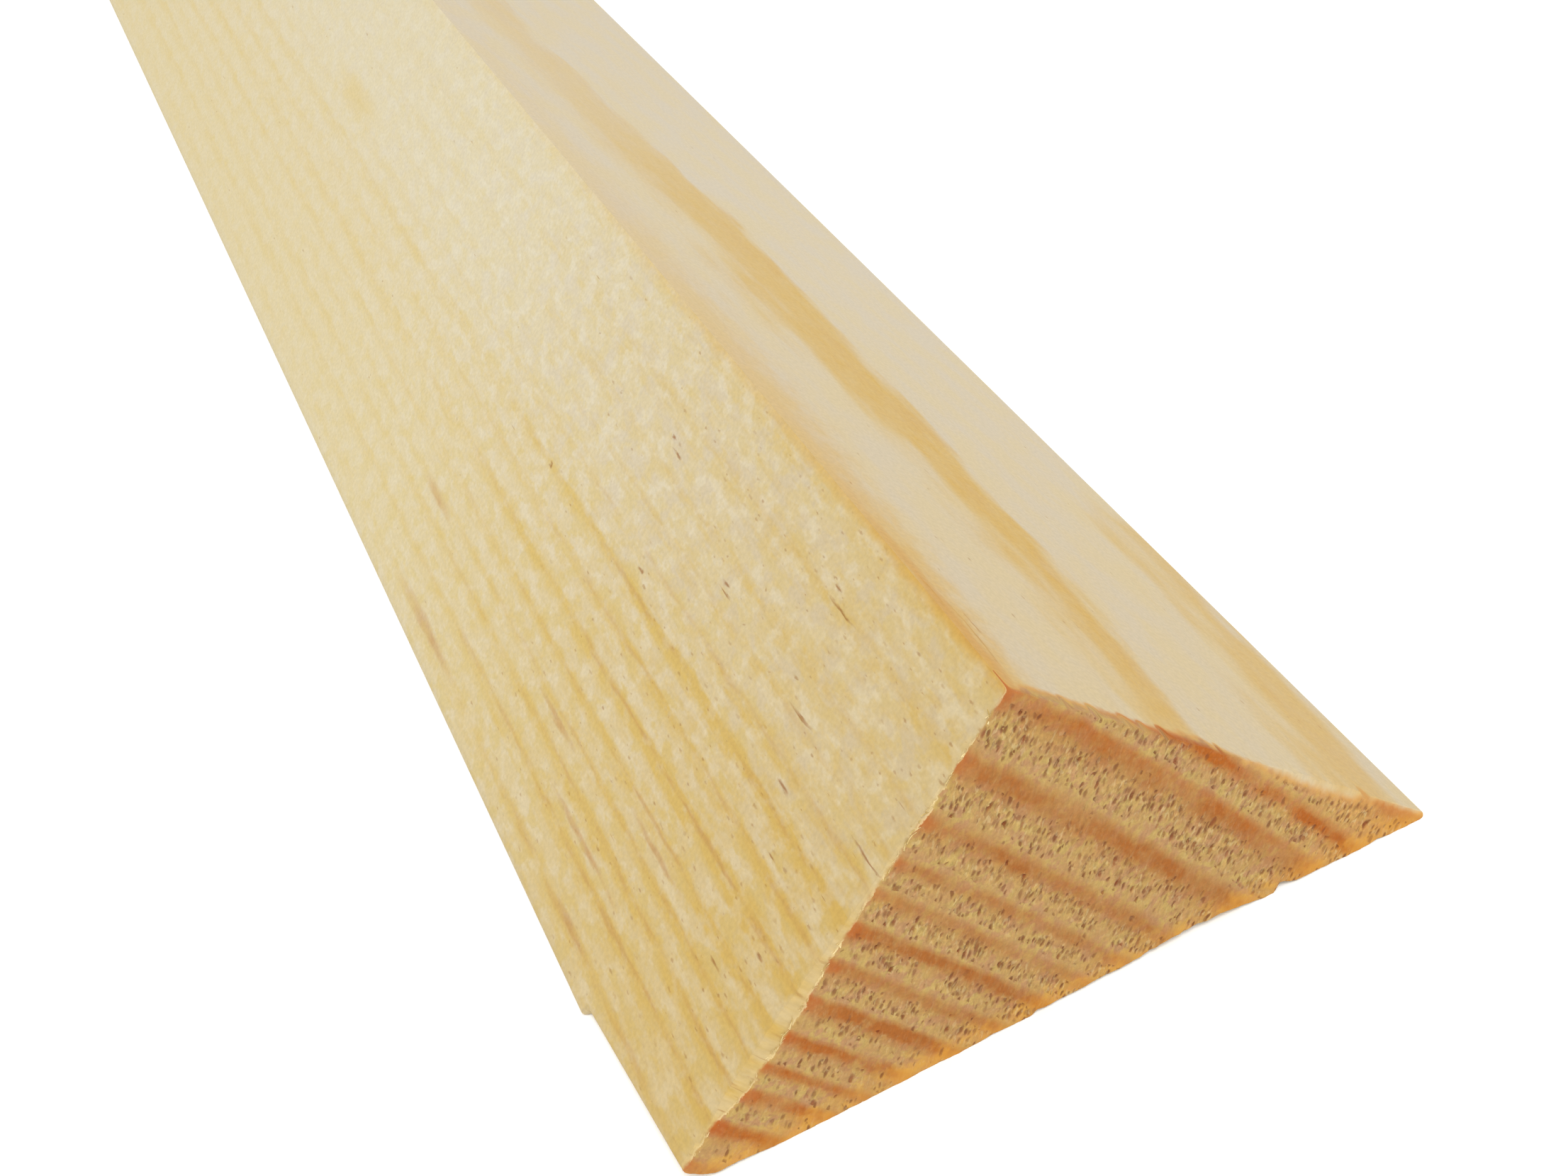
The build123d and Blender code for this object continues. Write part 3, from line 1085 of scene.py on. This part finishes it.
# %% One torn fibre
bpy.ops.object.select_all(action="DESELECT")
bpy.ops.mesh.primitive_cone_add(vertices=4, radius1=0.022 * MM, radius2=0.006 * MM, depth=0.4 * MM)
fibre = bpy.context.object
fibre.name = "torn_fibres"
bpy.ops.object.mode_set(mode="EDIT")
for height in (-0.08, 0.06):
    bpy.ops.mesh.select_all(action="SELECT")
    bpy.ops.mesh.bisect(plane_co=(0, 0, height * MM), plane_no=(0, 0, 1))
for height, bend in ((-0.1, 0.25), (0.05, 0.35)):
    choose("FACE", lambda middle, way: middle.z > height * MM)
    bpy.ops.transform.rotate(value=bend, orient_axis="X", center_override=(0, 0, height * MM))
bpy.ops.object.mode_set(mode="OBJECT")
print("one fibre has", len(fibre.data.polygons), "faces")

# %% Copy it along the edge
FIBRES = 150
CLEAR = 0.01 * MM  # every fibre ends this far short of the end's own plane
rng = np.random.default_rng(7)
edge_low = worn + UP_LEFT * (SPLIT_END + 0.3 * MM)
edge_high = np.array([0, RIDGE]) - UP_LEFT * 0.9 * MM
one = [v.co.copy() for v in fibre.data.vertices]
one_faces = [tuple(p.vertices) for p in fibre.data.polygons]
points, faces = [], []
for i in range(FIBRES):
    spot = edge_low + (edge_high - edge_low) * rng.random()
    up_leg = np.linalg.norm(spot - worn) / MM
    inside = np.interp(up_leg, *np.array(EDGE_LEFT).T) * MM
    spot = spot + INWARD * max(inside, 0)
    tuft = noise.noise(Vector((0, spot[1] / MM * 0.9, 8.0))) > 0.05
    size = rng.uniform(0.5, 1.0) * (1.25 if tuft else 0.7)
    lean = Matrix.Rotation(rng.normal(0, 0.35 if tuft else 0.15) - math.pi / 4, 4, "X")
    lift = Matrix.Rotation(rng.uniform(-0.35, 0.1), 4, "Y")
    turn = lean @ lift @ Matrix.Rotation(rng.uniform(0, 2 * math.pi), 4, "Z")
    start = Vector((END_X - rng.uniform(0.05, 0.12) * MM, *spot))
    start.yz = Vector(spot) + Vector((-1, 1)) * COS_45 * rng.uniform(-0.02, 0.02) * MM
    placed = [start + turn @ (v * size) for v in one]
    over = max(0, max(v.x for v in placed) - (END_X - CLEAR))
    first = len(points)
    points += [v - Vector((over, 0, 0)) for v in placed]
    faces += [tuple(first + k for k in face) for face in one_faces]
fibre.data.clear_geometry()
fibre.data.from_pydata(points, [], faces)
reach = max(v.co.x for v in fibre.data.vertices)
print(FIBRES, "fibres reach", round((END_X - reach) / MM, 3), "mm short of the end plane")

straw, shader, place = new_material("straw", 0.7)
mottled = fade(noise_of(place, 2500.0, 2, flat=False), 0.35, 0.65)
feed(mix(mottled, BURR, EARLY_YELLOW), shader.inputs["Base Color"])
fibre.data.materials.append(straw)
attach(fibre, "root")

# %% [markdown]
# The picture was lit from all sides in front of plain white. A white world does nearly all of
# that. One large soft light, in front of the sawn end and above it, shades its dents a little.

# %% Floor and light
FLOOR_DROP = 0.02 * MM  # so that the floor never lies in the same plane as the base
KEY_AIM = Vector((0.3, 0, 0))

bpy.ops.object.select_all(action="DESELECT")
bpy.ops.mesh.primitive_plane_add(size=12)
floor = bpy.context.object
floor.name = "floor"
floor.location.z = -FLOOR_DROP
paper = bpy.data.materials.new("floor_paper")
paper.use_nodes = True
paper_shader = paper.node_tree.nodes["Principled BSDF"]
paper_shader.inputs["Base Color"].default_value = (0.95, 0.95, 0.95, 1)
paper_shader.inputs["Roughness"].default_value = 0.9
floor.data.materials.append(paper)

world = bpy.data.worlds.new("studio")
bpy.context.scene.world = world
world.use_nodes = True
sky = world.node_tree.nodes["Background"].inputs
sky["Color"].default_value = (1, 1, 1, 1)
sky["Strength"].default_value = 0.9
bpy.context.scene.view_settings.view_transform = "Standard"

key = bpy.data.objects.new("key", bpy.data.lights.new("key", "AREA"))
bpy.context.scene.collection.objects.link(key)
key.data.energy = 53
key.data.size = 1.0
key.location = (1.8, -0.2, 2.6)
key.rotation_mode = "QUATERNION"
key.rotation_quaternion = (KEY_AIM - key.location).to_track_quat("-Z", "Y")
print("the key light stands", round((KEY_AIM - key.location).length, 2), "m away")
